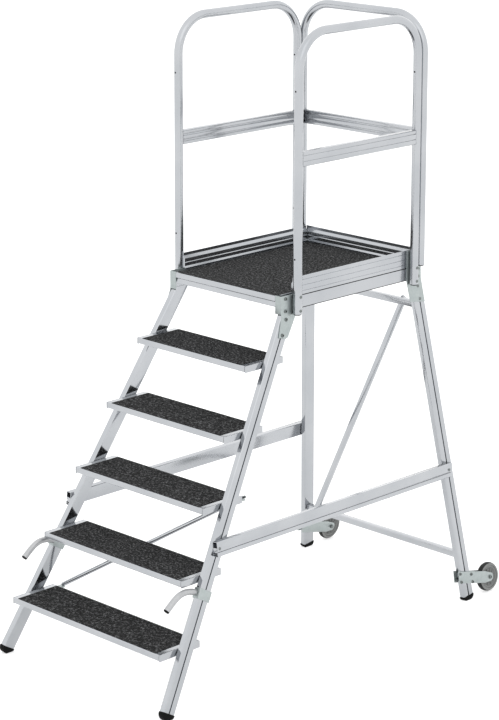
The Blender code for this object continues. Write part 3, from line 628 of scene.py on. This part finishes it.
def treads():
    """Treads: an extruded tray between two end plates, with dark strips in the seams, a grit sheet and
    screws.
    """
    # The section is drawn as depth and height, then laid along X.
    lay = Matrix(((0, 0, 1, 0), (1, 0, 0, 0), (0, 1, 0, 0), (0, 0, 0, 1)))
    seam, overlap = 0.0014, 0.0001
    inner = PLATE_T + seam
    # A dark strip shows in the seam between the tray's nose and each end plate.
    strip = [(0.0003, -0.0215), (0.0003, -0.0085), (0.0060, -0.0085), (0.0060, -0.0215)]
    for k in range(1, TREADS + 1):
        tread = f"tread_{k}"
        lo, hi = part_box(tread)
        depth = hi.y - lo.y
        outline, hole = tread_outline(depth)
        front_top = Matrix.Translation((0, lo.y, hi.z)) @ lay
        start = Matrix.Translation((lo.x + inner, 0, 0)) @ front_top
        tray = prism(f"{tread}_tray", outline, hi.x - lo.x - 2 * inner, start, [hole])
        publish(tray, ROOT, ALUMINIUM["across"], (tread,))
        plate = round_path([(0.0, -TREAD_END), (0.0, 0.0), (depth, 0.0), (depth, -TREAD_END)], 0.0018)
        for tag, x in (("left", lo.x), ("right", hi.x - PLATE_T + overlap)):
            start = Matrix.Translation((x, 0, 0)) @ front_top
            end = prism(f"{tread}_end_{tag}", plate, PLATE_T - overlap, start, ease=0.0005)
            publish(end, ROOT, ALUMINIUM["ahead"])
        for tag, x in (("left", lo.x + PLATE_T), ("right", hi.x - inner)):
            start = Matrix.Translation((x, 0, 0)) @ front_top
            dark_strip = prism(f"{tread}_seal_{tag}", strip, seam, start)
            publish(dark_strip, ROOT, PLUG)
        grit_sheet(f"tread_grip_{k}")
        # Screws through the end plates into the stiles, seen from below.
        spots = [
            facing((side * (hi.x - PLATE_T - SUNK), lo.y + y, hi.z - 0.014), (-side, 0, 0))
            for side in (1, -1) for y in (0.088, 0.128)
        ]
        fixings(f"{tread}_screws", spots, 0.0045, "socket")


def tie_rod():
    """The slanted rod behind the treads, with a lug and a bolt at each end."""
    behind = 0.0255
    first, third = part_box("tread_1")[1].y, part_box("tread_3")[1].y
    near = Vector((-0.385, first + behind, RISE - 0.004))
    far = Vector((0.335, third + behind, 3 * RISE - 0.018))
    rod = curve_tube("tie_rod_fine", [near, far], TIE_ROD_R)
    publish(rod, ROOT, ALUMINIUM["up"], ("tie_rod",))
    plate = round_path([(-0.012, -0.010), (0.012, -0.010), (0.012, -0.002), (-0.012, -0.002)], 0.002)
    for tag, end, back in (("near", near, first), ("far", far, third)):
        seat = facing((end.x, back + CLEAR, end.z), (0, 1, 0))
        lug = prism(f"tie_lug_{tag}", plate, end.y - back - CLEAR, seat)
        publish(lug, ROOT, GALVANISED)
        bolt = facing(end + Vector((0, TIE_ROD_R, 0)), (0, 1, 0))
        fixings(f"tie_bolt_{tag}", [bolt], 0.0055, "hex")


def feet():
    """Rubber end caps with a grooved wall and a rounded, slightly spread sole."""
    for node in ("front_foot", "rear_foot"):
        for _, tag in SIDES:
            refined(f"{node}_{tag}", RUBBER, 0.0016)


def through(knots, steps):
    """A smooth curve through the knots, with steps points to each span."""
    points = []
    for span in zip([knots[0], *knots], knots, knots[1:], [*knots[2:], knots[-1]]):
        for i in range(steps):
            t = i / steps
            weights = (
                -t**3 + 2 * t * t - t, 3 * t**3 - 5 * t * t + 2, -3 * t**3 + 4 * t * t + t,
                t**3 - t * t,
            )
            points.append([sum(w * v for w, v in zip(weights, axis)) / 2 for axis in zip(*span)])
    return [*points, knots[-1]]


def handles():
    """Bent push handles at the stiles, with a plastic plug in each end."""
    top_z, standoff = 0.428, 0.0058
    stile_front = -PROFILE_W / 2 * math.hypot(1, STILE_SLOPE)
    start_y = STILE_Y + STILE_SLOPE * top_z + stile_front - standoff
    # A gentle arch: out from the clamp, level, then down to the grip's end.
    knots = [
        (0.0, 0.4255), (-0.018, 0.4325), (-0.036, 0.4370), (-0.055, 0.4385), (-0.074, 0.4365),
        (-0.092, 0.4300), (-0.110, 0.4195), (-0.126, 0.4080), (-0.147, 0.3910),
    ]
    arch = through(knots, 4)
    for side, tag in SIDES:
        path = [(side * HANDLE_X, start_y + y, z) for y, z in arch]
        grip = curve_tube(f"handle_{tag}_tube", path, HANDLE_R)
        publish(grip, ROOT, BRIGHT_ZINC, (f"handle_{tag}",))
        end, before = Vector(path[-1]), Vector(path[-2])
        fixings(
            f"handle_{tag}_plug", [facing(end, end - before, (1, 0, 0))], HANDLE_R + CLEAR, "plug",
            material=PLUG, slot="foot_rubber",
        )


def wheels():
    """Transport wheels: tyre, pale sidewalls and a ribbed rim that turn, on a fixed axle."""
    # w is half of the tyre's width. The profiles are (radius, distance from the middle plane).
    w = 0.013
    ribs = 10
    for side, tag in SIDES:
        joint = JOINTS[f"wheel_{tag}_spin"]
        out = Vector(joint["axis"])
        if out.x * side < 0:
            out.negate()
        place = facing(joint["pos_m"], out)
        body = f"wheel_{tag}"
        tyre = [
            (0.0468, -w + 0.002), (0.0500, -w + 0.0006), (0.0515, -w), (0.0545, -w + 0.0004),
            (0.0570, -w + 0.0020), (0.0588, -w + 0.0048), (0.0597, -w + 0.0080), (0.0600, -0.0028),
        ]
        tyre += [(r, -h) for r, h in reversed(tyre)]
        piece = turned_object(f"tyre_{tag}", tyre, place, 96, 50)
        publish(piece, body, TYRE, (f"wheel_tyre_{tag}",))
        for face, where in ((1, "outer"), (-1, "inner")):
            ring = [
                (0.0472, w - 0.0010), (0.0500, w + 0.0001), (0.0515, w + 0.0005), (0.0545, w + 0.0001),
                (0.0566, w - 0.0012), (0.0540, w - 0.0022), (0.0480, w - 0.0022),
            ]
            ring = [(r, face * h) for r, h in ring]
            wall = turned_object(f"sidewall_{where}_{tag}", ring, place, 96, 50)
            publish(wall, body, SIDEWALL)
        rim = [
            (0.0063, w), (0.0118, w), (0.0140, w - 0.0004), (0.0152, w - 0.0020),
            (0.0170, w - 0.0052), (0.0250, w - 0.0060), (0.0262, w - 0.0050), (0.0275, w - 0.0050),
            (0.0287, w - 0.0062), (0.0345, w - 0.0062), (0.0370, w - 0.0050), (0.0387, w - 0.0024),
            (0.0410, w - 0.0014), (0.0450, w - 0.0016), (0.0465, w - 0.0022),
        ]
        rim += [(r, -h) for r, h in reversed(rim)]
        piece = turned_object(f"rim_{tag}", rim, place, 96, 40)
        publish(piece, body, RIM, (f"wheel_rim_{tag}",))
        # Ribs between the hub and the rim's ring.
        bm = bmesh.new()
        for i in range(ribs):
            turn = Matrix.Rotation(2 * math.pi * i / ribs, 4, "Z")
            for face in (1, -1):
                size = Matrix.Diagonal((0.0195, 0.0022, 0.0046, 1))
                spot = Matrix.Translation((0.0262, 0, face * (w - 0.0056)))
                bmesh.ops.create_cube(bm, size=1.0, matrix=place @ turn @ spot @ size)
        publish(finished(bm, f"rim_ribs_{tag}"), body, RIM)

        near, far = -0.0171, 0.0173
        axle = [
            (0.0, near - 0.0055), (0.0068, near - 0.0055), (0.0079, near - 0.0045), (0.0080, near),
            (0.0050, near), (0.0050, far), (0.0080, far), (0.0079, far + 0.0022), (0.0070, far + 0.0036),
            (0.0052, far + 0.0044), (0.0034, far + 0.0045), (0.0030, far + 0.0022), (0.0, far + 0.0022),
        ]
        piece = turned_object(f"axle_{tag}", axle, place, 40)
        publish(piece, ROOT, SCREW, (f"wheel_axle_{tag}",))


def plane_x(z, proud):
    """X of the right side plane's outer face at height z, raised by proud."""
    return SIDE_X - FLARE * z + proud * math.hypot(1, FLARE)


def all_fixings():
    """Rivets, bolts and plugs of the frame, each seated on its own face."""
    out = Vector((1, 0, FLARE)).normalized()
    plate = CLEAR + PLATE_T
    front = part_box("platform_nosing")[0].y
    bracket_x = PLATFORM_X + plate

    # Front brackets: two rivets on the platform, two on the stile.
    spots = [((bracket_x, front + 0.0230, z), (1, 0, 0)) for z in (1.4230, 1.3745)]
    low = ((0.0230, 1.3425), (-0.0040, 1.2860))
    spots += [((plane_x(z, plate), front + y, z), out) for y, z in low]
    both_sides("front_bracket_rivets", spots, 0.0072, "socket")

    # Rear brackets
    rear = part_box("platform_rear_frame")[1].y
    spots = [((bracket_x, rear + 0.0078, z), (1, 0, 0)) for z in (1.410, 1.380)]
    spots += [((plane_x(z, plate), LEG_Y + LEG_SLOPE * z, z), out) for z in (1.341, 1.288)]
    both_sides("rear_bracket_rivets", spots, 0.0066, "rivet")

    # Hoop posts: bolts through their feet, and small plugs in their fronts.
    spots = [
        ((POST_X + TUBE_R - SUNK, y, z), (1, 0, 0))
        for y in (POST_FRONT_Y, POST_REAR_Y) for z in (1.428, 1.3735)
    ]
    both_sides("post_bolts", spots, 0.0066, "rivet")
    spots = [
        ((POST_X, y - TUBE_R + SUNK, z), (0, -1, 0))
        for y in (POST_FRONT_Y, POST_REAR_Y) for z in (2.216, 1.574)
    ]
    both_sides("post_plugs", spots, 0.0038, "plug", material=PLUG, slot="foot_rubber")
    spots = [((POST_X, BACK_RAIL_Y + TUBE_R - SUNK, z), (0, 1, 0)) for z in (2.220, 1.580)]
    both_sides("back_post_bolts", spots, 0.0058, "rivet")

    # Side braces: one screw at each end.
    lo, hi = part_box("side_brace_right")
    z = 0.5745
    x = plane_x(z, CLEAR + PROFILE_T)
    spots = [((x, y, z), out) for y in (lo.y + 0.0120, hi.y - 0.0190)]
    both_sides("brace_screws", spots, 0.0062, "rivet")

    # Wheel plates: bolts before and behind the leg, and nuts on the inner plate.
    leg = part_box("wheel_plate_outer_right")[0].y
    ahead = [(leg + 0.0085, 0.1215), (leg + 0.0125, 0.0860)]
    behind = [(leg + 0.0770, 0.1040), (leg + 0.0830, 0.0700)]
    spots = [((plane_x(z, plate), y, z), out) for y, z in ahead + behind]
    both_sides("wheel_plate_bolts", spots, 0.0066, "socket")
    spots = [((plane_x(z, -PROFILE_T - CLEAR), y, z), out) for y, z in ahead + behind]
    both_sides("wheel_plate_nuts", spots, 0.0075, "hex")

    # Handle clamps: two bolts behind the stile.
    back = Vector((0, 1, -STILE_SLOPE)).normalized()
    spots = [
        ((plane_x(z, -PROFILE_T / 2), STILE_Y + STILE_SLOPE * (z + 0.010) + 0.0365, z), back)
        for z in (0.405, 0.387)
    ]
    both_sides("handle_clamp_bolts", spots, 0.0055, "hex")

    # Diagonal: one bolt into each cross bar.
    proud = 0.0138
    lo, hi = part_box("rear_cross_bar_upper")
    top = facing((0.2090, hi.y + proud, (lo.z + hi.z) / 2), (0, 1, 0))
    lo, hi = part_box("rear_cross_bar_lower")
    foot = facing((-0.3570, lo.y - proud, (lo.z + hi.z) / 2), (0, -1, 0))
    fixings("diagonal_bolts", [top, foot], 0.0055, "hex")


# ---------------------------------------------------------------- studio

FLOOR_GLOW = 0.47
SKY_STRENGTH = 1.5
KEY_WATTS = 25


def studio():
    """A white floor without an edge, an even white sky and one large soft lamp."""
    white = Finish("floor_white")
    soft = white.noise(white.coords(), 0.4, 2.0, 0.5)
    white.paint(white.blend(soft, (0.650, 0.650, 0.650), (0.670, 0.670, 0.670)))
    white.set(Roughness=0.9, Specular_IOR_Level=0.1)
    # The floor gives off a little light, so that it stays white round the ladder.
    white.set(Emission_Color=(1.0, 1.0, 1.0, 1.0), Emission_Strength=FLOOR_GLOW)
    bm = bmesh.new()
    bmesh.ops.create_grid(bm, x_segments=1, y_segments=1, size=90)
    mesh = bpy.data.meshes.new("floor")
    bm.to_mesh(mesh)
    bm.free()
    floor = link("floor", mesh)
    floor.data.materials.append(white.mat)

    world = bpy.data.worlds.new("studio")
    bpy.context.scene.world = world
    world.use_nodes = True
    background = world.node_tree.nodes["Background"]
    background.inputs["Color"].default_value = (1.0, 1.0, 1.0, 1.0)
    background.inputs["Strength"].default_value = SKY_STRENGTH

    light = bpy.data.lights.new("key", "AREA")
    light.shape = "RECTANGLE"
    light.size = light.size_y = 5.0
    light.energy = KEY_WATTS
    key = link("key", light)
    key.location = (4.5, -3.0, 6.5)
    key.rotation_euler = (Vector((0, 0, 1.0)) - key.location).to_track_quat("-Z", "Y").to_euler()


def camera():
    """The photograph's view: from the front right and a little above the middle."""
    data = bpy.data.cameras.new("camera")
    cam = link("camera", data)
    yaw, tilt = math.radians(45.01), math.radians(13.02)
    level = math.cos(tilt)
    back = Vector((math.sin(yaw) * level, -math.cos(yaw) * level, math.sin(tilt)))
    cam.location = (6.4965, -6.6508, 3.6914)
    cam.rotation_euler = (-back).to_track_quat("-Z", "Y").to_euler()
    data.lens = 121.96
    data.sensor_width = 36.0
    data.shift_x, data.shift_y = 0.0262, -0.1547
    data.clip_end = 300.0
    bpy.context.scene.camera = cam
    bpy.context.scene.view_settings.view_transform = "Standard"


frame_members()
side_frames()
guard_hoops()
treads()
grit_sheet("platform_grip", corner=0.010)
tie_rod()
feet()
handles()
wheels()
all_fixings()
studio()
camera()
